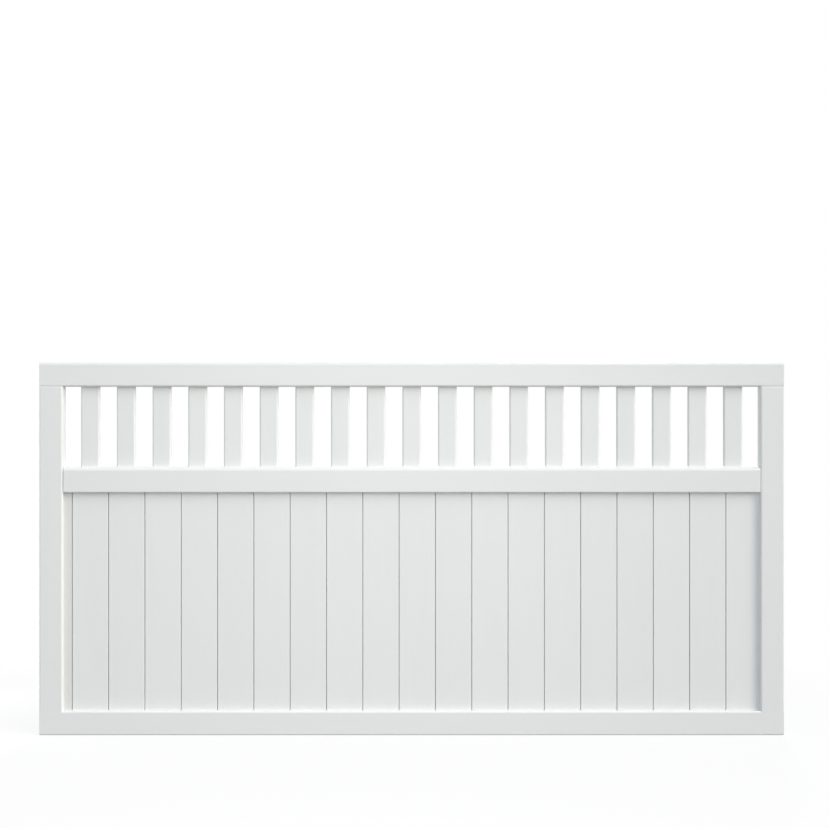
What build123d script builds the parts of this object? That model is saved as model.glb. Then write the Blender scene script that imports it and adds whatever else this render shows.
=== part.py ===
from build123d import *
import os

# White-painted timber fence panel: two stiles between a top and a bottom rail, a mid rail between
# the stiles, an open band of pickets above it and tongue-and-groove boards below it.
# Millimetres, +X along the panel, the front faces -Y, +Z up.
# The origin is the middle of the left stile's outer face, which is fixed to a post.

# Overall sizes
panel_width = 1800.0
panel_height = 900.0
picket_opening = 193.5  # clear height of the open band

# Frame timber
rail_face = 58.0
mid_rail_face = 62.5
stile_face = 57.0
frame_depth = 45.0
opening_edge_radius = 5.0  # around the opening that the stiles and the outer rails frame
rail_top_radius = 6.0  # upper edges of the top rail
mid_rail_top_radius = 11.0  # upper edges of the mid rail, which sheds water at the pickets' feet
arris_radius = 3.0  # lower edges of the mid rail and the bottom rail, outer edges of the stiles
shoulder_chamfer = 2.0  # eased heads of the stiles and ends of the mid rail

# Stub tenons that join the frame, each blind in its mortise
tenon_length = 18.0
tenon_thickness = 15.0
stile_tenon_width = 30.0
stile_tenon_shoulder = 10.0  # from the stile's outer face
mid_tenon_height = 22.0
tenon_clearance = 0.2
tenon_end_gap = 1.0

# Pickets, housed in a mortise at each end
picket_count = 19
picket_width = 45.0
picket_thickness = 19.0
picket_edge_radius = 4.0
picket_housing = 15.0
picket_top_gap = 2.0
picket_clearance = 0.3

# Tongue-and-groove boards, laid from the right stile, the leftmost one ripped to width
board_cover = 88.0
board_thickness = 19.0
board_gap = 1.5  # between the edges of two boards
board_edge_chamfer = 1.25
tongue_thickness = 6.0
tongue_reach = 7.0  # how far a tongue enters the next board
tongue_clearance = 0.2
tongue_end_gap = 1.0
rip_wall = 4.0  # timber left behind the groove of the narrowest ripped board

# Grooves in the frame that hold the boards
board_housing = 12.0
board_top_gap = 3.0
board_side_housing = 5.5
stile_groove_gap = 7.0
board_clearance = 0.3

# Levels and lines that the sizes give
panel_bottom = -panel_height / 2
panel_top = panel_height / 2
bottom_rail_top = panel_bottom + rail_face
top_rail_underside = panel_top - rail_face
mid_rail_top = top_rail_underside - picket_opening
mid_rail_underside = mid_rail_top - mid_rail_face
left_inner = stile_face
right_inner = panel_width - stile_face
clear_width = right_inner - left_inner
clear_height = top_rail_underside - bottom_rail_top
tongue_groove_depth = tongue_reach + tongue_end_gap
board_face = board_cover - board_gap
board_bottom = bottom_rail_top - board_housing
board_top = mid_rail_underside + board_housing - board_top_gap
picket_bottom = mid_rail_top - picket_housing
picket_top = top_rail_underside + picket_housing - picket_top_gap
mid_rail_centre = (mid_rail_underside + mid_rail_top) / 2


def span_box(low, high):
    """Box from its lowest to its highest corner."""
    size = [high[i] - low[i] for i in range(3)]
    return Pos(*low) * Box(*size, align=(Align.MIN, Align.MIN, Align.MIN))


def outer_frame():
    """Outer rails and stiles in one piece, with the edges around the opening rounded on both faces."""
    outline = Rectangle(panel_width, panel_height) - Rectangle(clear_width, clear_height)
    frame = extrude(Plane.XZ * Pos(panel_width / 2, 0) * outline, amount=frame_depth / 2, both=True)
    front, *_, back = frame.faces().sort_by(Axis.Y)
    rims = front.inner_wires()[0].edges() + back.inner_wires()[0].edges()
    return fillet(rims, opening_edge_radius)


def frame_member(low_x, high_x, low_z, high_z):
    """Rail or stile cut out of the outer frame."""
    half = frame_depth / 2
    return outer_frame() & span_box((low_x, -half, low_z), (high_x, half, high_z))


def mid_rail_bar():
    """Mid rail without its joints: upper edges well rounded, lower edges just eased."""
    section = Rectangle(frame_depth, mid_rail_face)
    section = fillet(section.vertices().group_by(Axis.Y)[-1], mid_rail_top_radius)
    section = fillet(section.vertices().group_by(Axis.Y)[0], arris_radius)
    end_plane = Plane(origin=(left_inner, 0, mid_rail_centre), x_dir=(0, 1, 0), z_dir=(1, 0, 0))
    return extrude(end_plane * section, amount=clear_width)


def stile_tenon(z_low, z_high, grow=0.0):
    """Tenon on an end of the left stile, or its mortise where it grows by the clearance."""
    x_low = stile_tenon_shoulder
    half = tenon_thickness / 2 + grow
    return span_box((x_low - grow, -half, z_low), (x_low + stile_tenon_width + grow, half, z_high))


def mid_tenon(x_low, x_high, grow=0.0):
    """Tenon on an end of the mid rail, or its mortise where it grows by the clearance."""
    half_depth = tenon_thickness / 2 + grow
    z_low = mid_rail_centre - mid_tenon_height / 2 - grow
    z_high = mid_rail_centre + mid_tenon_height / 2 + grow
    return span_box((x_low, -half_depth, z_low), (x_high, half_depth, z_high))


def mirrored(solid):
    """Mirror image of a solid about the middle of the panel's width."""
    return mirror(solid, about=Plane.YZ.offset(panel_width / 2))


def both_ends(solid):
    """Solid at the left end and its mirror image at the right end."""
    return [solid, mirrored(solid)]


def picket_centres():
    """Middle lines of the pickets, with equal gaps between them and beside the stiles."""
    gap = (clear_width - picket_count * picket_width) / (picket_count + 1)
    first = left_inner + gap + picket_width / 2
    return [first + i * (picket_width + gap) for i in range(picket_count)]


def picket_bar(x_centre, z_low, z_high, grow=0.0):
    """Upright bar with a picket's section, or a mortise for it where it grows by the clearance."""
    width = picket_width + 2 * grow
    thickness = picket_thickness + 2 * grow
    section = RectangleRounded(width, thickness, picket_edge_radius + grow)
    return extrude(Pos(x_centre, 0, z_low) * section, amount=z_high - z_low)


def board_right_edges():
    """Right edges of the boards from left to right, one cover width apart from the right stile."""
    edges = []
    edge = right_inner + board_side_housing
    while edge > left_inner:
        edges.append(edge)
        edge -= board_cover
    return edges[::-1]


def rip_line():
    """Where the leftmost board is ripped: in the left stile's groove, behind its own groove's wall."""
    narrowest = tongue_groove_depth + rip_wall
    return min(left_inner - board_side_housing, board_right_edges()[0] - narrowest)


def board_section(right):
    """Section of a full board: chamfered faces, a groove in its right edge and a tongue on its left one."""
    left = right - board_face
    tongue_length = board_gap + tongue_reach
    groove_width = tongue_thickness + 2 * tongue_clearance
    body = chamfer(Rectangle(board_face, board_thickness).vertices(), board_edge_chamfer)
    tongue = Rectangle(tongue_length, tongue_thickness)
    groove = Rectangle(tongue_groove_depth, groove_width)
    section = Pos((left + right) / 2, 0) * body
    section += Pos(left - tongue_length / 2, 0) * tongue
    section -= Pos(right - tongue_groove_depth / 2, 0) * groove
    return section


def board(section):
    """Board of a section, standing on the floor of the bottom rail's groove."""
    return extrude(Pos(0, 0, board_bottom) * section, amount=board_top - board_bottom)


def ripped_section(right):
    """Section of the leftmost board, kept to the right of the rip line."""
    left = rip_line()
    kept = Pos((left + right) / 2, 0) * Rectangle(right - left, board_thickness)
    return board_section(right) & kept


def board_groove(low_x, high_x, low_z, high_z):
    """Groove for the boards, across the middle of the frame's depth."""
    half = board_thickness / 2 + board_clearance
    return span_box((low_x, -half, low_z), (high_x, half, high_z))


def make_top_rail():
    """Top rail, mortised underneath for both stiles and every picket."""
    rail = frame_member(0, panel_width, top_rail_underside, panel_top)
    rail = fillet(rail.edges().filter_by(Axis.X).group_by(Axis.Z)[-1], rail_top_radius)
    mortise_top = top_rail_underside + tenon_length + tenon_end_gap
    rail -= both_ends(stile_tenon(top_rail_underside, mortise_top, tenon_clearance))
    housing_top = top_rail_underside + picket_housing
    rail -= [picket_bar(x, top_rail_underside, housing_top, picket_clearance) for x in picket_centres()]
    return rail


def make_mid_rail():
    """Mid rail, tenoned into both stiles, mortised for the pickets and grooved for the boards."""
    rail = mid_rail_bar()
    left_end, *_, right_end = rail.faces().sort_by(Axis.X)
    rail = chamfer(left_end.edges() + right_end.edges(), shoulder_chamfer)
    rail += both_ends(mid_tenon(left_inner - tenon_length, left_inner))
    rail -= [picket_bar(x, picket_bottom, mid_rail_top, picket_clearance) for x in picket_centres()]
    rail -= board_groove(left_inner, right_inner, mid_rail_underside, mid_rail_underside + board_housing)
    return rail


def make_bottom_rail():
    """Bottom rail, mortised above for both stiles and grooved above for the boards."""
    rail = frame_member(0, panel_width, panel_bottom, bottom_rail_top)
    rail = fillet(rail.edges().filter_by(Axis.X).group_by(Axis.Z)[0], arris_radius)
    mortise_floor = bottom_rail_top - tenon_length - tenon_end_gap
    rail -= both_ends(stile_tenon(mortise_floor, bottom_rail_top, tenon_clearance))
    groove_left = rip_line() - board_clearance
    groove_right = board_right_edges()[-1] + board_clearance
    rail -= board_groove(groove_left, groove_right, board_bottom, bottom_rail_top)
    return rail


def make_left_stile():
    """Left stile, tenoned into both rails, mortised for the mid rail and grooved for the boards."""
    stile = frame_member(0, left_inner, bottom_rail_top, top_rail_underside)
    stile = fillet(stile.edges().filter_by(Axis.Z).group_by(Axis.X)[0], arris_radius)
    stile = chamfer(stile.faces().sort_by(Axis.Z)[-1].edges(), shoulder_chamfer)
    stile += stile_tenon(bottom_rail_top - tenon_length, bottom_rail_top)
    stile += stile_tenon(top_rail_underside, top_rail_underside + tenon_length)
    stile -= mid_tenon(left_inner - tenon_length - tenon_end_gap, left_inner, tenon_clearance)
    groove_floor = rip_line() - stile_groove_gap
    stile -= board_groove(groove_floor, left_inner, bottom_rail_top, board_top + board_clearance)
    return stile


def make_parts():
    """Every piece of the panel by its node name."""
    left_stile = make_left_stile()
    parts = {
        "top_rail": make_top_rail(),
        "mid_rail": make_mid_rail(),
        "bottom_rail": make_bottom_rail(),
        "left_stile": left_stile,
        "right_stile": mirrored(left_stile),
    }
    for number, x_centre in enumerate(picket_centres(), start=1):
        parts[f"picket_{number:02d}"] = picket_bar(x_centre, picket_bottom, picket_top)
    for number, right in enumerate(board_right_edges(), start=1):
        section = ripped_section(right) if number == 1 else board_section(right)
        parts[f"board_{number:02d}"] = board(section)
    return parts


os.makedirs("parts", exist_ok=True)
for node, solid in make_parts().items():
    export_step(solid, f"parts/{node}.step")
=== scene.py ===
import logging
import math
from abc import ABC, abstractmethod
from collections.abc import Mapping
from dataclasses import dataclass
from enum import Enum

import bmesh
import bpy
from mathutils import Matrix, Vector


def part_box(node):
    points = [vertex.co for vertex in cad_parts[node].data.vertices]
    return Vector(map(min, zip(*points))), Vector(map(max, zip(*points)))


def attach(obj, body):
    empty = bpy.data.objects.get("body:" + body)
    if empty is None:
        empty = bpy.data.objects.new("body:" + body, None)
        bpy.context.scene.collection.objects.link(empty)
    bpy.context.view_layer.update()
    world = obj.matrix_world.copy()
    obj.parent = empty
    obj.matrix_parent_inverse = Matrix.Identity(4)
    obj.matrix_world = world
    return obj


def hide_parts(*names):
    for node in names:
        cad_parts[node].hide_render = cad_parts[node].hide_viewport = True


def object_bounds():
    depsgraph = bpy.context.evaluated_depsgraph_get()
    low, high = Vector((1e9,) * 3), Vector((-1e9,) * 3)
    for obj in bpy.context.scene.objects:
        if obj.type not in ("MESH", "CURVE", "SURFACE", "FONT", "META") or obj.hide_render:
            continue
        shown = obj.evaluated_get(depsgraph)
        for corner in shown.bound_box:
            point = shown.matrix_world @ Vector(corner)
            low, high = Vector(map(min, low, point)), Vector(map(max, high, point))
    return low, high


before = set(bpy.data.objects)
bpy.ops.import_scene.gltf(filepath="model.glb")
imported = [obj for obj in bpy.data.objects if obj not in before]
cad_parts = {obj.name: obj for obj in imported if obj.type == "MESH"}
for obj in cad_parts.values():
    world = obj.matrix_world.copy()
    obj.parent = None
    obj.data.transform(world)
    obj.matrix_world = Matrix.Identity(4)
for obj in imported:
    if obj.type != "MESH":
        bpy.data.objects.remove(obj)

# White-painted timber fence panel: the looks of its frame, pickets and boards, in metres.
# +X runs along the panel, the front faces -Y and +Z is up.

LOG = logging.getLogger("fence_panel")
BODY = "root"
MILLIMETRE = 0.001
SMALLEST_RADIUS = 0.2 * MILLIMETRE  # least radius of a rounded edge
SHARPEST_SMOOTH = math.radians(50)  # a sharper fold between two faces shows as an edge
QUARTER_TURN = math.radians(90)
QUARTERS = ((1, 1), (-1, 1), (-1, -1), (1, -1))  # signs of a rectangle's corners, anticlockwise
MIDPOINT = 0.5  # middle of a cell, or of values from 0 to 1
FULL_WHITE = (1.0, 1.0, 1.0, 1.0)

Point = tuple[float, float]
Stretch = tuple[float, float]
Place = tuple[float, float, float]
Light = tuple[float, float, float]
Colour = tuple[float, float, float, float]
cad_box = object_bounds()


class Run(Enum):
    """Way that a length of timber runs, which is also the way of its grain."""

    ACROSS = "across"
    UPRIGHT = "upright"


class Side(Enum):
    """Side of a section, across its face: the left or lower one, or the right or upper one."""

    LOW = -1
    HIGH = 1


class Slot(Enum):
    """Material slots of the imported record."""

    FRAME = "frame_paint"
    PICKETS = "picket_paint"
    BOARDS = "board_paint"


class Signal:
    """Output socket of a shader node, for arithmetic in which each operation adds its node."""

    def __init__(self, shader: "Shader", socket: bpy.types.NodeSocket | None) -> None:
        """Keeps the shader that the socket belongs to, so that more nodes can be added to it."""
        self.shader = shader
        self.socket = socket

    def _math(self, operation: str, *operands: "Signal | float") -> "Signal":
        """Result of one Math node."""
        return self.shader.node("ShaderNodeMath", {"operation": operation}, dict(enumerate(operands)))

    def __add__(self, other: "Signal | float") -> "Signal":
        """Sum."""
        return self._math("ADD", self, other)

    def __radd__(self, other: float) -> "Signal":
        """Sum with a number on the left."""
        return self._math("ADD", other, self)

    def __sub__(self, other: "Signal | float") -> "Signal":
        """Difference."""
        return self._math("SUBTRACT", self, other)

    def __rsub__(self, other: float) -> "Signal":
        """Difference from a number on the left."""
        return self._math("SUBTRACT", other, self)

    def __mul__(self, other: "Signal | float") -> "Signal":
        """Product."""
        return self._math("MULTIPLY", self, other)

    def __rmul__(self, other: float) -> "Signal":
        """Product with a number on the left."""
        return self._math("MULTIPLY", other, self)

    def __truediv__(self, other: "Signal | float") -> "Signal":
        """Quotient."""
        return self._math("DIVIDE", self, other)

    def __rtruediv__(self, other: float) -> "Signal":
        """Quotient of a number on the left."""
        return self._math("DIVIDE", other, self)

    def __pow__(self, other: "Signal | float") -> "Signal":
        """Power."""
        return self._math("POWER", self, other)

    def __rpow__(self, other: float) -> "Signal":
        """Power of a number on the left."""
        return self._math("POWER", other, self)

    def floor(self) -> "Signal":
        """Whole number below."""
        return self._math("FLOOR", self)

    def fraction(self) -> "Signal":
        """Part above the whole number below."""
        return self._math("FRACT", self)

    def larger(self, other: "Signal | float") -> "Signal":
        """Larger of two values."""
        return self._math("MAXIMUM", self, other)


Input = Signal | float | tuple


class Shader:
    """Node tree of a material or a world, filled node by node."""

    def __init__(self, owner: bpy.types.Material | bpy.types.World) -> None:
        """Empties the owner's node tree.

        Args:
            owner: the material or the world.
        """
        owner.use_nodes = True
        self.tree = owner.node_tree
        self.tree.nodes.clear()

    def node(
        self,
        kind: str,
        settings: Mapping[str, object] | None = None,
        inputs: Mapping[int | str, Input] | None = None,
        output: int | str = 0,
    ) -> Signal:
        """Adds a node.

        Args:
            kind: Blender's name of the node's type.
            settings: the node's own properties, which are set first.
            inputs: a value or a signal for each socket, by place or by name.
            output: the socket that is wanted, by place or by name.

        Returns:
            The wanted output.
        """
        added = self.tree.nodes.new(kind)
        for name, value in (settings or {}).items():
            setattr(added, name, value)
        for key, value in (inputs or {}).items():
            if isinstance(value, Signal):
                self.tree.links.new(value.socket, added.inputs[key])
            else:
                added.inputs[key].default_value = value
        return Signal(self, added.outputs[output] if len(added.outputs) else None)

    def blend(self, first: Colour | Signal, second: Colour | Signal, factor: Signal | float) -> Signal:
        """Colour between two colours.

        Args:
            first: the colour at a factor of 0.
            second: the colour at a factor of 1.
            factor: the share of the second colour.

        Returns:
            The blended colour.
        """
        factor_socket, first_socket, second_socket, colour_output = 0, 6, 7, 2
        inputs = {factor_socket: factor, first_socket: first, second_socket: second}
        return self.node("ShaderNodeMix", {"data_type": "RGBA"}, inputs, colour_output)

    def layer(self, under: Signal, over: Signal, share: Signal) -> Signal:
        """Surface of two others, where the share is that of the one over."""
        return self.node("ShaderNodeMixShader", None, {0: share, 1: under, 2: over})

    def axes(self) -> tuple[Signal, Signal, Signal]:
        """Place on the object.

        Returns:
            The distances along X, Y and Z.
        """
        place = self.node("ShaderNodeTexCoord", output="Object")
        x, y, z = (self.node("ShaderNodeSeparateXYZ", None, {0: place}, axis) for axis in "XYZ")
        return x, y, z

    def seen(self) -> Signal:
        """Whether the camera sees a surface directly, in a reflection or through glass.

        Returns:
            1 where it does, else 0.
        """
        rays = ("Is Camera Ray", "Is Glossy Ray", "Is Transmission Ray")
        direct, mirrored, refracted = (self.node("ShaderNodeLightPath", output=ray) for ray in rays)
        return direct.larger(mirrored).larger(refracted)


@dataclass(frozen=True)
class Cells:
    """Even division of the panel into cells that hold one length of timber each.

    Attributes:
        start: where the first cell starts.
        width: width of a cell.
    """

    start: float
    width: float


@dataclass(frozen=True)
class GrainPlace:
    """Place in a length of timber.

    Attributes:
        along: distance along the grain.
        side: distance across the face.
        depth: distance through the depth.
    """

    along: Signal
    side: Signal
    depth: Signal


@dataclass(frozen=True)
class Streaks:
    """Noise that is drawn out along the timber.

    Attributes:
        length: length of a streak.
        width: width of a streak.
        layers: number of finer layers.
        harshness: how strongly the finer layers show.
    """

    length: float
    width: float
    layers: float
    harshness: float

    def noise(self, shader: Shader, place: GrainPlace, shift: Signal | float = 0.0) -> Signal:
        """Adds the noise to a shader.

        Args:
            shader: the tree to add to.
            place: place in the timber.
            shift: moves the noise, in widths, so that two timbers differ.

        Returns:
            Values of about 0 to 1.
        """
        scaled = {
            0: place.along / self.length,
            1: place.side / self.width,
            2: place.depth / self.width + shift,
        }
        inputs = {
            "Vector": shader.node("ShaderNodeCombineXYZ", None, scaled),
            "Scale": 1.0,
            "Detail": self.layers,
            "Roughness": self.harshness,
        }
        return shader.node("ShaderNodeTexNoise", {"noise_dimensions": "3D"}, inputs)


@dataclass(frozen=True)
class PaintedTimber:
    """White satin paint on planed softwood, with the grain showing faintly in the paint film.

    The grain is a solid pattern of growth rings, so that end grain shows on cut ends.

    Attributes:
        name: name of the material.
        run: the way of the grain.
        cells: where each length of timber lies, so that each has its own grain and tone.
        white: the paint at its cleanest.
        shaded_white: the paint where it is thinnest.
        mottle_tone: share of the paint's uneven thickness in its colour.
        timber_tone: share of each timber's own tone.
        ring_tone: share of the growth rings.
        least_tone: where the colour starts.
        roughness: roughness of the paint where it is even.
        mottle_roughness: how much the uneven thickness changes it.
        ring_roughness: how much the growth rings add to it.
        specular: strength of its reflections.
        refraction: refractive index of the paint.
        ring_width: distance between two growth rings.
        ring_hardness: how suddenly a ring ends.
        ring_relief: how far late wood stands up under the paint.
        heart_depth: how far the rings' heart lies behind the timber's middle, at the least.
        heart_depth_spread: how much deeper it may lie, from one timber to another.
        heart_side_spread: how far it wanders to the sides, from one timber to another.
        ring_wander: how far the rings wander along the timber.
        timber_shift: how far the wander of two timbers may differ, in widths of its streaks.
        brush_relief: depth of the brush marks.
        wander: streaks by which the rings wander.
        brush: brush marks.
        mottle: uneven thickness of the paint.
    """

    name: str
    run: Run
    cells: Cells
    white: Colour = (0.82, 0.835, 0.83, 1.0)
    shaded_white: Colour = (0.775, 0.792, 0.79, 1.0)
    mottle_tone: float = 0.55
    timber_tone: float = 0.25
    ring_tone: float = 0.12
    least_tone: float = -0.1
    roughness: float = 0.42
    mottle_roughness: float = 0.12
    ring_roughness: float = 0.03
    specular: float = 0.5
    refraction: float = 1.5
    ring_width: float = 3.6 * MILLIMETRE
    ring_hardness: float = 2.5
    ring_relief: float = 0.032 * MILLIMETRE
    heart_depth: float = 42 * MILLIMETRE
    heart_depth_spread: float = 70 * MILLIMETRE
    heart_side_spread: float = 60 * MILLIMETRE
    ring_wander: float = 30 * MILLIMETRE
    timber_shift: float = 40.0
    brush_relief: float = 0.016 * MILLIMETRE
    wander: Streaks = Streaks(length=0.62, width=0.11, layers=2.0, harshness=0.5)
    brush: Streaks = Streaks(length=0.14, width=0.0016, layers=3.0, harshness=0.6)
    mottle: Streaks = Streaks(length=0.4, width=0.07, layers=4.0, harshness=0.55)

    def material(self) -> bpy.types.Material:
        """Builds the material.

        Returns:
            A new material.
        """
        material = bpy.data.materials.new(self.name)
        shader = Shader(material)
        place = self._place(shader)
        cell = ((place.side - self.cells.start) / self.cells.width).floor()
        seed = {"W": cell + MIDPOINT}
        chance = shader.node("ShaderNodeTexWhiteNoise", {"noise_dimensions": "1D"}, seed)
        rings = self._rings(shader, place, cell, chance)
        mottle = self.mottle.noise(shader, place)
        marks = self.brush.noise(shader, place)
        tone = mottle * self.mottle_tone + chance * self.timber_tone + rings * self.ring_tone
        uneven = (mottle - MIDPOINT) * self.mottle_roughness + rings * self.ring_roughness
        height = rings * self.ring_relief + marks * self.brush_relief
        relief = {"Strength": 1.0, "Distance": 1.0, "Height": height}
        inputs = {
            "Base Color": shader.blend(self.white, self.shaded_white, tone + self.least_tone),
            "Roughness": uneven + self.roughness,
            "Normal": shader.node("ShaderNodeBump", None, relief),
            "IOR": self.refraction,
            "Specular IOR Level": self.specular,
        }
        surface = shader.node("ShaderNodeBsdfPrincipled", None, inputs)
        shader.node("ShaderNodeOutputMaterial", None, {"Surface": surface})
        return material

    def _place(self, shader: Shader) -> GrainPlace:
        """Place in the timber, by the way that it runs."""
        x, y, z = shader.axes()
        return GrainPlace(x, z, y) if self.run is Run.ACROSS else GrainPlace(z, x, y)

    def _rings(self, shader: Shader, place: GrainPlace, cell: Signal, chance: Signal) -> Signal:
        """Growth rings about a heart that lies behind the face, in another place for each timber.

        Args:
            shader: the tree to add to.
            place: place in the timber.
            cell: number of the timber's cell.
            chance: random value of the timber, from 0 to 1.

        Returns:
            From 0, soft early wood, to 1, hard late wood.
        """
        middle = (cell + MIDPOINT) * self.cells.width + self.cells.start
        aside = place.side - middle - (chance - MIDPOINT) * self.heart_side_spread
        behind = place.depth - (chance * self.heart_depth_spread + self.heart_depth)
        wander = self.wander.noise(shader, place, chance * self.timber_shift)
        radius = (aside * aside + behind * behind) ** 0.5 + wander * self.ring_wander
        return (radius / self.ring_width).fraction() ** self.ring_hardness


@dataclass(frozen=True)
class Station:
    """Place along a length of timber.

    Attributes:
        along: distance along the timber.
        inset: how far the outline is drawn in there.
        stop: how deep the rounding of the stopped side may go there.
    """

    along: float
    inset: float = 0.0
    stop: float = math.inf


@dataclass(frozen=True)
class RoundedSection:
    """Planed section with rounded edges, about its own middle.

    Attributes:
        width: size across the face.
        depth: size from the front to the back.
        low_radius: radius of the edges on the left or lower side.
        high_radius: radius of the edges on the right or upper side.
        stopped: the side whose rounding a station may stop, if there is one.
        steps: faces along each rounded edge.
    """

    width: float
    depth: float
    low_radius: float
    high_radius: float
    stopped: Side | None = None
    steps: int = 6

    def radius(self, side: Side) -> float:
        """Radius of the edges on one side."""
        return self.high_radius if side is Side.HIGH else self.low_radius

    def outline(self, station: Station) -> list[Point]:
        """Outline of the section.

        Args:
            station: the place along the timber.

        Returns:
            Points across and through the timber, anticlockwise.
        """
        half_width = self.width / 2 - station.inset
        half_depth = self.depth / 2 - station.inset
        points = []
        for quarter, (side, face) in enumerate(QUARTERS):
            radius = max(self.radius(Side(side)) - station.inset, SMALLEST_RADIUS)
            stop = station.stop if self.stopped is Side(side) else math.inf
            for step in range(self.steps + 1):
                angle = QUARTER_TURN * (quarter + step / self.steps)
                from_side = radius * (1 - abs(math.cos(angle)))
                from_face = min(radius * (1 - abs(math.sin(angle))), stop)
                points.append((side * (half_width - from_side), face * (half_depth - from_face)))
        return points


@dataclass(frozen=True)
class BoardSection:
    """Tongue-and-groove section: tongue on the left edge, groove in the right one, face edges rounded.

    Attributes:
        face: width of the board's face.
        thickness: size from the front to the back.
        arris: radius of the face edges.
        tongue_length: how far the tongue stands out, or none.
        tongue_thickness: size of the tongue through the board.
        groove_depth: how far the groove is cut in.
        groove_width: size of the groove through the board.
        steps: faces along each rounded edge.
    """

    face: float
    thickness: float
    arris: float
    tongue_length: float
    tongue_thickness: float
    groove_depth: float
    groove_width: float
    steps: int = 4

    def outline(self, station: Station) -> list[Point]:
        """Outline of the section.

        Args:
            station: the place along the board.

        Returns:
            Points across and through the board, anticlockwise.
        """
        body = RoundedSection(self.face, self.thickness, self.arris, self.arris, steps=self.steps)
        corners = body.outline(station)
        per_corner = self.steps + 1
        back, front = corners[: 2 * per_corner], corners[2 * per_corner :]
        left, right = -self.face / 2, self.face / 2
        tip, floor = left - self.tongue_length, right - self.groove_depth
        cheek, lip = self.tongue_thickness / 2, self.groove_width / 2
        tongue = [(left, cheek), (tip, cheek), (tip, -cheek), (left, -cheek)]
        groove = [(right, -lip), (floor, -lip), (floor, lip), (right, lip)]
        return back + (tongue if self.tongue_length else []) + front + groove


@dataclass(frozen=True)
class Length:
    """One length of timber: a section that runs along X or Z between two ends.

    Attributes:
        node: the CAD node that it stands for.
        section: outline of the timber.
        run: the way that it runs.
        middle: place of the section's middle line, across the face.
        start: where it starts.
        end: where it ends.
        start_easing: radius of the rounding of its first end, or none.
        end_easing: radius of the rounding of its last end, or none.
        opening: stretch along which the stopped side is rounded, mitred at both ends,
            if a side is stopped.
        run_out: how deep the rounding of the stopped side still is beyond the opening.
        easing_steps: faces along the rounding of an end.
        station_gap: about how far apart the stations are along a plain stretch.
    """

    node: str
    section: RoundedSection | BoardSection
    run: Run
    middle: float
    start: float
    end: float
    start_easing: float = 0.0
    end_easing: float = 0.0
    opening: Stretch | None = None
    run_out: float = 0.0
    easing_steps: int = 4
    station_gap: float = 60 * MILLIMETRE

    def build(self) -> bpy.types.Object:
        """Builds the piece.

        Returns:
            The object, linked to the scene, riding on the panel's body and standing for its CAD node.
        """
        data = self._mesh()
        piece = bpy.data.objects.new(data.name, data)
        bpy.context.scene.collection.objects.link(piece)
        even = piece.modifiers.new("even_normals", "WEIGHTED_NORMAL")
        even.keep_sharp = True
        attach(piece, BODY)
        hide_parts(self.node)
        return piece

    def _mesh(self) -> bpy.types.Mesh:
        """Joins the outlines at all stations by faces and closes both ends.

        Returns:
            The mesh, smooth but for its sharp folds.
        """
        mesh = bmesh.new()
        rings = []
        for station in self._stations():
            outline = self.section.outline(station)
            rings.append([mesh.verts.new(self._corner(station.along, point)) for point in outline])
        count = len(rings[0])
        for low, high in zip(rings, rings[1:]):
            for i in range(count):
                j = (i + 1) % count
                mesh.faces.new((low[i], low[j], high[j], high[i]))
        mesh.faces.new(rings[0])
        mesh.faces.new(rings[-1])
        bmesh.ops.recalc_face_normals(mesh, faces=mesh.faces)
        for face in mesh.faces:
            face.smooth = True
        data = bpy.data.meshes.new(f"{self.node}_painted")
        mesh.to_mesh(data)
        mesh.free()
        data.set_sharp_from_angle(angle=SHARPEST_SMOOTH)
        return data

    def _corner(self, along: float, point: Point) -> Vector:
        """Place of an outline's point in the panel's frame.

        Args:
            along: distance along the timber.
            point: the outline's point, across and through the timber.

        Returns:
            The place.
        """
        across, through = point
        if self.run is Run.ACROSS:
            return Vector((along, through, self.middle + across))
        return Vector((self.middle + across, through, along))

    def _stations(self) -> list[Station]:
        """Stations of the whole timber.

        Returns:
            The stations from its start to its end.
        """
        start, end = self.start + self.start_easing, self.end - self.end_easing
        if self.opening is None:
            stop = math.inf
            middle = self._plain(start, end)
        else:
            stop = self.run_out
            low, high = self.opening
            reach = self.section.radius(self.section.stopped)
            middle = self._plain(start, low - reach, stop) + self._mitre(low, Side.LOW)[::-1]
            middle += self._plain(low, high)
            middle += self._mitre(high, Side.HIGH) + self._plain(high + reach, end, stop)
        first = self._eased(self.start, Side.LOW, self.start_easing, stop)
        last = self._eased(self.end, Side.HIGH, self.end_easing, stop)
        return first[::-1] + middle + last

    def _plain(self, start: float, end: float, stop: float = math.inf) -> list[Station]:
        """Even stations of a stretch with no change along it, both its ends among them."""
        count = max(1, round((end - start) / self.station_gap))
        return [Station(start + (end - start) * i / count, 0.0, stop) for i in range(count + 1)]

    def _eased(self, end: float, side: Side, easing: float, stop: float) -> list[Station]:
        """Stations of a rounded end, outwards from the plain stretch.

        Args:
            end: place of the end.
            side: which of the two ends it is.
            easing: radius of its rounding.
            stop: how deep the stopped side may be rounded there.

        Returns:
            One station for each step, or none where the end isn't eased.
        """
        if not easing:
            return []
        stations = []
        for step in range(1, self.easing_steps + 1):
            angle = QUARTER_TURN * step / self.easing_steps
            along = end - side.value * easing * (1 - math.sin(angle))
            stations.append(Station(along, easing * (1 - math.cos(angle)), stop))
        return stations

    def _mitre(self, corner: float, side: Side) -> list[Station]:
        """Stations where the rounding of the stopped side runs out, away from a corner of the opening.

        Args:
            corner: place of the corner.
            side: which of the two corners it is.

        Returns:
            One station for each step of the rounding.
        """
        stations = []
        reach = self.section.radius(self.section.stopped)
        for step in range(1, self.section.steps):
            angle = QUARTER_TURN * step / self.section.steps
            along = corner + side.value * reach * (1 - math.cos(angle))
            stations.append(Station(along, 0.0, max(reach * (1 - math.sin(angle)), self.run_out)))
        return stations


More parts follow.
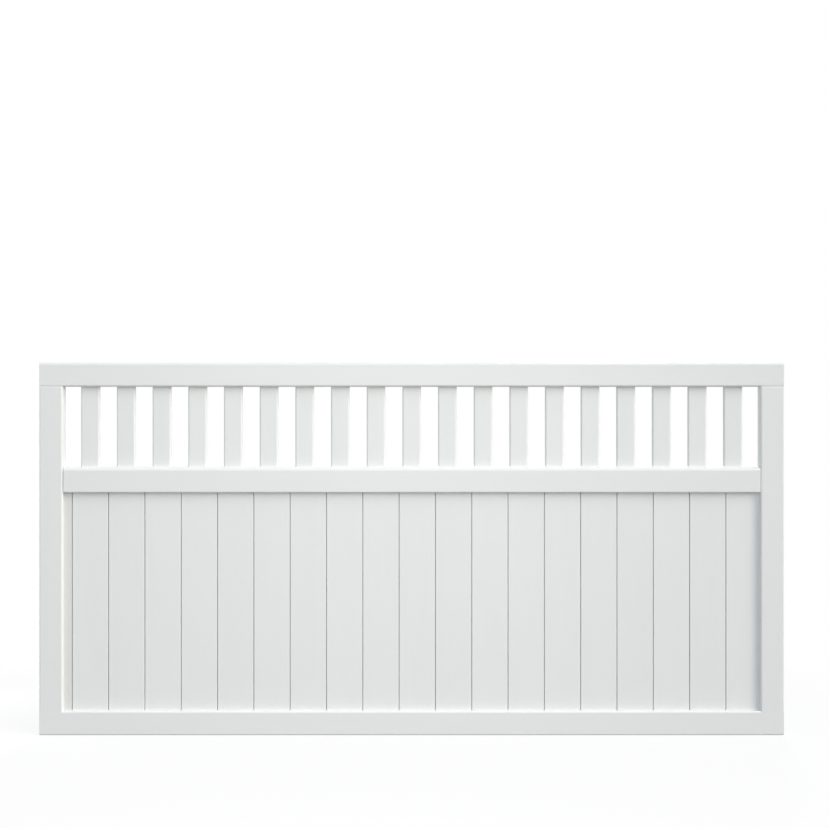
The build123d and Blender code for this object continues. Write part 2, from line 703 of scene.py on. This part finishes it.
def nodes_named(start: str) -> list[str]:
    """CAD nodes whose names start with the same word, in the order of their numbers."""
    return sorted(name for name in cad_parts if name.startswith(start))


class SubAssembly(ABC):
    """Lengths of timber of one kind, each with its finish, with the name of one material slot for the
    log.
    """

    slot: Slot

    @abstractmethod
    def lengths(self) -> list[Length]:
        """Every length of timber, in the order of making."""

    @abstractmethod
    def finish(self, length: Length) -> PaintedTimber:
        """Finish of one length."""

    def build(self) -> list[bpy.types.Object]:
        """Builds and dresses every length.

        Returns:
            The new pieces.
        """
        materials: dict[str, bpy.types.Material] = {}
        pieces = []
        for length in self.lengths():
            piece = length.build()
            finish = self.finish(length)
            if finish.name not in materials:
                materials[finish.name] = finish.material()
            piece.data.materials.append(materials[finish.name])
            pieces.append(piece)
        return pieces


@dataclass
class Frame(SubAssembly):
    """Top, mid and bottom rails with a stile at each end.

    Attributes:
        opening_edge_radius: radius of the edges around the opening that stiles and outer rails frame.
        rail_top_radius: radius of the top rail's upper edges.
        mid_rail_top_radius: radius of the mid rail's upper edges.
        arris_radius: radius of the lower edges of the mid rail and the bottom rail, and of the
            stiles' outer edges.
        shoulder_easing: radius of the stiles' heads and the mid rail's ends.
        top_run_out: how deep the rounding under the top rail still is over the stiles' heads.
        cut_end_easing: radius of the outer rails' cut ends.
        rail_cells: one cell for each rail.
        stile_cells: one cell for each stile.
        slot: material slot.
    """

    opening_edge_radius: float = 5 * MILLIMETRE
    rail_top_radius: float = 6 * MILLIMETRE
    mid_rail_top_radius: float = 11 * MILLIMETRE
    arris_radius: float = 3 * MILLIMETRE
    shoulder_easing: float = 2 * MILLIMETRE
    top_run_out: float = 0.8 * MILLIMETRE
    cut_end_easing: float = 0.8 * MILLIMETRE
    rail_cells: Cells = Cells(start=-0.03, width=0.25)
    stile_cells: Cells = Cells(start=-0.5, width=1.0)
    slot: Slot = Slot.FRAME

    def lengths(self) -> list[Length]:
        """Three rails and two stiles, with their places from the CAD nodes.

        Returns:
            The rails from top to bottom, then the stiles.
        """
        opening = (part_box("left_stile")[1].x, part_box("right_stile")[0].x)
        return [
            self._outer_rail("top_rail", Side.LOW, self.rail_top_radius, opening, self.top_run_out),
            self._mid_rail("mid_rail", opening),
            self._outer_rail("bottom_rail", Side.HIGH, self.arris_radius, opening),
            self._stile("left_stile", Side.HIGH),
            self._stile("right_stile", Side.LOW),
        ]

    def finish(self, length: Length) -> PaintedTimber:
        """Paint whose grain runs with the rail or the stile.

        Args:
            length: the rail or the stile.

        Returns:
            Its finish.
        """
        if length.run is Run.ACROSS:
            return PaintedTimber("painted_rails", Run.ACROSS, self.rail_cells)
        return PaintedTimber("painted_stiles", Run.UPRIGHT, self.stile_cells)

    def _outer_rail(
        self,
        node: str,
        inner: Side,
        outer_radius: float,
        opening: Stretch,
        run_out: float = 0.0,
    ) -> Length:
        """Rail over the whole width, whose rounding on the opening's side is mitred at the stiles.

        Args:
            node: the rail's CAD node.
            inner: the side that faces the opening.
            outer_radius: radius of the edges on the other side.
            opening: where the opening starts and ends.
            run_out: how deep the rounding still is over the stiles.

        Returns:
            The rail.
        """
        low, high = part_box(node)
        low_radius, high_radius = self._radii(inner, outer_radius)
        return Length(
            node,
            RoundedSection(high.z - low.z, high.y - low.y, low_radius, high_radius, inner),
            Run.ACROSS,
            middle=(low.z + high.z) / 2,
            start=low.x,
            end=high.x,
            start_easing=self.cut_end_easing,
            end_easing=self.cut_end_easing,
            opening=opening,
            run_out=run_out,
        )

    def _mid_rail(self, node: str, opening: Stretch) -> Length:
        """Rail between the stiles, without its hidden tenons.

        Args:
            node: the rail's CAD node.
            opening: where the opening starts and ends.

        Returns:
            The rail.
        """
        low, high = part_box(node)
        low_radius, high_radius = self.arris_radius, self.mid_rail_top_radius
        return Length(
            node,
            RoundedSection(high.z - low.z, high.y - low.y, low_radius, high_radius),
            Run.ACROSS,
            middle=(low.z + high.z) / 2,
            start=opening[0],
            end=opening[1],
            start_easing=self.shoulder_easing,
            end_easing=self.shoulder_easing,
        )

    def _stile(self, node: str, inner: Side) -> Length:
        """Stile between the outer rails, eased at its head, without its hidden tenons.

        Args:
            node: the stile's CAD node.
            inner: the side that faces the opening.

        Returns:
            The stile.
        """
        low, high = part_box(node)
        low_radius, high_radius = self._radii(inner, self.arris_radius)
        return Length(
            node,
            RoundedSection(high.x - low.x, high.y - low.y, low_radius, high_radius),
            Run.UPRIGHT,
            middle=(low.x + high.x) / 2,
            start=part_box("bottom_rail")[1].z,
            end=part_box("top_rail")[0].z,
            end_easing=self.shoulder_easing,
        )

    def _radii(self, inner: Side, outer_radius: float) -> tuple[float, float]:
        """Radii of the low and the high side, for a piece of the outer frame."""
        radii = (outer_radius, self.opening_edge_radius)
        return radii if inner is Side.HIGH else radii[::-1]


@dataclass
class PicketBand(SubAssembly):
    """Upright battens between the top rail and the mid rail.

    Attributes:
        edge_radius: radius of the long edges.
        cell_lead: how far a picket's cell starts before the picket, as a share of the pitch.
        slot: material slot.
    """

    edge_radius: float = 4 * MILLIMETRE
    cell_lead: float = 0.25
    slot: Slot = Slot.PICKETS

    def lengths(self) -> list[Length]:
        """One length for each picket.

        Returns:
            The pickets from left to right.
        """
        made = []
        for node in self._nodes():
            low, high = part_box(node)
            section = RoundedSection(high.x - low.x, high.y - low.y, self.edge_radius, self.edge_radius)
            made.append(Length(node, section, Run.UPRIGHT, (low.x + high.x) / 2, low.z, high.z))
        return made

    def finish(self, length: Length) -> PaintedTimber:
        """Paint with one cell for each picket.

        Args:
            length: the picket.

        Returns:
            The finish that all pickets share.
        """
        first, second = (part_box(node)[0].x for node in self._nodes()[:2])
        pitch = second - first
        cells = Cells(first - pitch * self.cell_lead, pitch)
        return PaintedTimber("painted_pickets", length.run, cells)

    def _nodes(self) -> list[str]:
        """Names of the pickets from left to right."""
        return nodes_named("picket_")


@dataclass
class BoardInfill(SubAssembly):
    """Upright tongue-and-groove boards between the mid rail and the bottom rail.

    Attributes:
        gap: open joint between the faces of two boards.
        arris: radius of the face edges.
        tongue_thickness: size of a tongue through the board.
        tongue_reach: how far a tongue enters the next board.
        groove_depth: how far a groove is cut in.
        groove_width: size of a groove through the board.
        painted_shade_white: the ripped board's paint where it is thicker, darkened as painted shade.
        painted_shade_darker_white: the ripped board's paint where it is thinnest, darkened as painted
            shade.
        slot: material slot.
    """

    gap: float = 1.5 * MILLIMETRE
    arris: float = 1.25 * MILLIMETRE
    tongue_thickness: float = 6 * MILLIMETRE
    tongue_reach: float = 7 * MILLIMETRE
    groove_depth: float = 8 * MILLIMETRE
    groove_width: float = 6.4 * MILLIMETRE
    # painted shade: the ripped board beside the left stile gets darker, warmer whites that stand for
    # the stile's shade
    painted_shade_white: Colour = (0.731, 0.732, 0.716, 1.0)
    painted_shade_darker_white: Colour = (0.691, 0.695, 0.682, 1.0)
    slot: Slot = Slot.BOARDS

    def lengths(self) -> list[Length]:
        """One length for each board, the leftmost one without a tongue.

        Returns:
            The boards from left to right.
        """
        made = []
        for number, node in enumerate(self._nodes()):
            low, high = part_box(node)
            tongue_length = self.gap + self.tongue_reach if number else 0.0
            left = low.x + tongue_length
            section = BoardSection(
                high.x - left,
                high.y - low.y,
                self.arris,
                tongue_length,
                self.tongue_thickness,
                self.groove_depth,
                self.groove_width,
            )
            made.append(Length(node, section, Run.UPRIGHT, (left + high.x) / 2, low.z, high.z))
        return made

    def finish(self, length: Length) -> PaintedTimber:
        """Paint with one cell for each board, darker on the ripped one as painted shade beside the left
        stile.

        Args:
            length: the board.

        Returns:
            Its finish.
        """
        nodes = self._nodes()
        first, second = (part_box(node)[1].x for node in nodes[:2])
        cover = second - first
        cells = Cells(first + self.gap / 2 - cover, cover)
        # painted shade: the ripped board beside the left stile is given the darker whites
        if length.node == nodes[0]:
            whites = (self.painted_shade_white, self.painted_shade_darker_white)
            return PaintedTimber("ripped_board_painted_shade", length.run, cells, *whites)
        return PaintedTimber("painted_boards", length.run, cells)

    def _nodes(self) -> list[str]:
        """Names of the boards from left to right."""
        return nodes_named("board_")


def hang_lamp(lamp: bpy.types.Light, light: Light, place: Vector, target: Vector) -> None:
    """Gives a lamp its light and links it to the scene.

    Args:
        lamp: the lamp.
        light: its red, green and blue light.
        place: where it hangs.
        target: the point that it shines at.
    """
    lamp.energy = max(light)
    lamp.color = [share / lamp.energy for share in light]
    hung = bpy.data.objects.new(lamp.name, lamp)
    hung.location = place
    hung.rotation_mode = "QUATERNION"
    hung.rotation_quaternion = (place - target).to_track_quat("Z", "Y")
    bpy.context.scene.collection.objects.link(hung)


@dataclass(frozen=True)
class DistantLamp:
    """Lamp so far away that its light falls the same way all over the panel.

    Attributes:
        name: name of the lamp.
        towards: direction from the panel to the lamp.
        spread: how wide it looks from the panel, in degrees.
        light: red, green and blue light that falls on a face turned to it.
    """

    name: str
    towards: Place
    spread: float
    light: Light

    def hang(self) -> None:
        """Adds the lamp to the scene."""
        lamp = bpy.data.lights.new(self.name, "SUN")
        lamp.angle = math.radians(self.spread)
        hang_lamp(lamp, self.light, Vector(self.towards), Vector((0.0, 0.0, 0.0)))


@dataclass(frozen=True)
class SoftBox:
    """Square soft box.

    Attributes:
        name: name of the lamp.
        place: where it hangs.
        target: the point that it faces.
        side: length of its sides.
        light: red, green and blue power, in watts.
    """

    name: str
    place: Place
    target: Place
    side: float
    light: Light

    def hang(self) -> None:
        """Adds the soft box to the scene."""
        lamp = bpy.data.lights.new(self.name, "AREA")
        lamp.shape = "SQUARE"
        lamp.size = self.side
        hang_lamp(lamp, self.light, Vector(self.place), Vector(self.target))


@dataclass
class Studio:
    """Pale floor, white background, soft light and the camera.

    Attributes:
        lens: focal length, in millimetres.
        sensor: width of the film, in millimetres.
        camera_place: where the camera stands.
        floor_drop: how far the floor lies under the panel.
        floor_half_size: half the length of the floor's sides.
        floor_white: colour of the floor where it is seen.
        floor_grey: colour of the floor where it throws light back at the panel.
        shadow_strength: how much of the panel's shadow shows beside it.
        shadow_reach: how far away, along X and along Y, the floor is plain white.
        sky: dim light from all around.
        sky_strength: its strength.
        lamps: lamps around the panel.
    """

    lens: float = 85.0
    sensor: float = 36.0
    camera_place: Place = (0.9056, -4.7465, 0.326)
    floor_drop: float = 1 * MILLIMETRE
    floor_half_size: float = 40.0
    floor_white: Colour = (0.86, 0.86, 0.86, 1.0)
    floor_grey: Colour = (0.3, 0.3, 0.3, 1.0)
    shadow_strength: float = 0.2
    shadow_reach: Point = (2.2, 1.6)
    sky: Colour = (0.88, 0.94, 1.0, 1.0)
    sky_strength: float = 0.375
    lamps: tuple[DistantLamp | SoftBox, ...] = (
        DistantLamp("warm_key", (0.85, -0.5, 0.15), 15.0, (0.55, 0.45, 0.30)),
        DistantLamp("right_fill", (0.7, -0.5, 0.5), 40.0, (1.17, 1.16, 1.14)),
        DistantLamp("upper_fill", (0.45, -0.4, 0.8), 40.0, (0.90, 0.92, 0.97)),
        DistantLamp("left_fill", (-0.5, -0.85, 0.1), 40.0, (0.16, 0.20, 0.25)),
        DistantLamp("back_fill", (0.12, 0.95, 0.28), 12.0, (1.70, 1.68, 1.66)),
        SoftBox("upper_box", (0.9, -1.6, 1.0), (0.9, 0.0, 0.3), 1.0, (5.1, 5.0, 4.8)),
        SoftBox("lower_box", (0.9, -1.5, 0.1), (0.9, 0.0, 0.0), 1.0, (2.15, 2.1, 2.05)),
        SoftBox("left_box", (-0.6, 0.45, 0.0), (0.0, 0.0, 0.0), 0.8, (4.0, 3.9, 3.8)),
    )

    def build(self) -> None:
        """Builds the floor, the background, the lamps and the camera."""
        self._floor()
        self._background()
        for lamp in self.lamps:
            lamp.hang()
        self._camera()
        bpy.context.scene.view_settings.view_transform = "Standard"

    def _floor(self) -> None:
        """Pale floor just under the panel, plain white but for the panel's shadow."""
        low, high = cad_box
        middle = (low + high) / 2
        half = self.floor_half_size
        corners = [(half * x, half * y, 0.0) for x, y in QUARTERS]
        data = bpy.data.meshes.new("studio_floor")
        data.from_pydata(corners, [], [range(len(corners))])
        data.materials.append(self._floor_material())
        floor = bpy.data.objects.new("studio_floor", data)
        floor.location = (middle.x, middle.y, low.z - self.floor_drop)
        bpy.context.scene.collection.objects.link(floor)

    def _floor_material(self) -> bpy.types.Material:
        """Matt white that takes shadows near the panel, and dim grey for the light that it throws back.

        Returns:
            A new material.
        """
        material = bpy.data.materials.new("studio_floor")
        shader = Shader(material)
        x, y, _ = shader.axes()
        aside, ahead = x / self.shadow_reach[0], y / self.shadow_reach[1]
        near = (1 - (aside * aside + ahead * ahead)).larger(0.0)
        grey = shader.node("ShaderNodeBsdfDiffuse", None, {"Color": self.floor_grey})
        white = shader.node("ShaderNodeBsdfDiffuse", None, {"Color": self.floor_white})
        plain = shader.node("ShaderNodeEmission", None, {"Color": FULL_WHITE, "Strength": 1.0})
        shown = shader.layer(plain, white, near * self.shadow_strength)
        surface = shader.layer(grey, shown, shader.seen())
        shader.node("ShaderNodeOutputMaterial", None, {"Surface": surface})
        return material

    def _background(self) -> None:
        """White where it is seen, and a dim sky where it only lights the panel."""
        world = bpy.data.worlds.new("studio")
        bpy.context.scene.world = world
        shader = Shader(world)
        sky_light = {"Color": self.sky, "Strength": self.sky_strength}
        sky = shader.node("ShaderNodeBackground", None, sky_light)
        white = shader.node("ShaderNodeBackground", None, {"Color": FULL_WHITE, "Strength": 1.0})
        surface = shader.layer(sky, white, shader.seen())
        shader.node("ShaderNodeOutputWorld", None, {"Surface": surface})

    def _camera(self) -> None:
        """Level camera square on to the panel's front."""
        data = bpy.data.cameras.new("camera")
        data.lens = self.lens
        data.sensor_width = self.sensor
        camera = bpy.data.objects.new("camera", data)
        camera.location = self.camera_place
        camera.rotation_euler = (QUARTER_TURN, 0.0, 0.0)
        bpy.context.scene.collection.objects.link(camera)
        bpy.context.scene.camera = camera


def main() -> None:
    """Builds the panel and the studio, and reports each piece."""
    logging.basicConfig(level=logging.INFO, format="%(message)s")
    for assembly in (Frame(), PicketBand(), BoardInfill()):
        for piece in assembly.build():
            LOG.info("%s in %s, %d faces", piece.name, assembly.slot.value, len(piece.data.polygons))
    Studio().build()


if __name__ == "__main__":
    main()
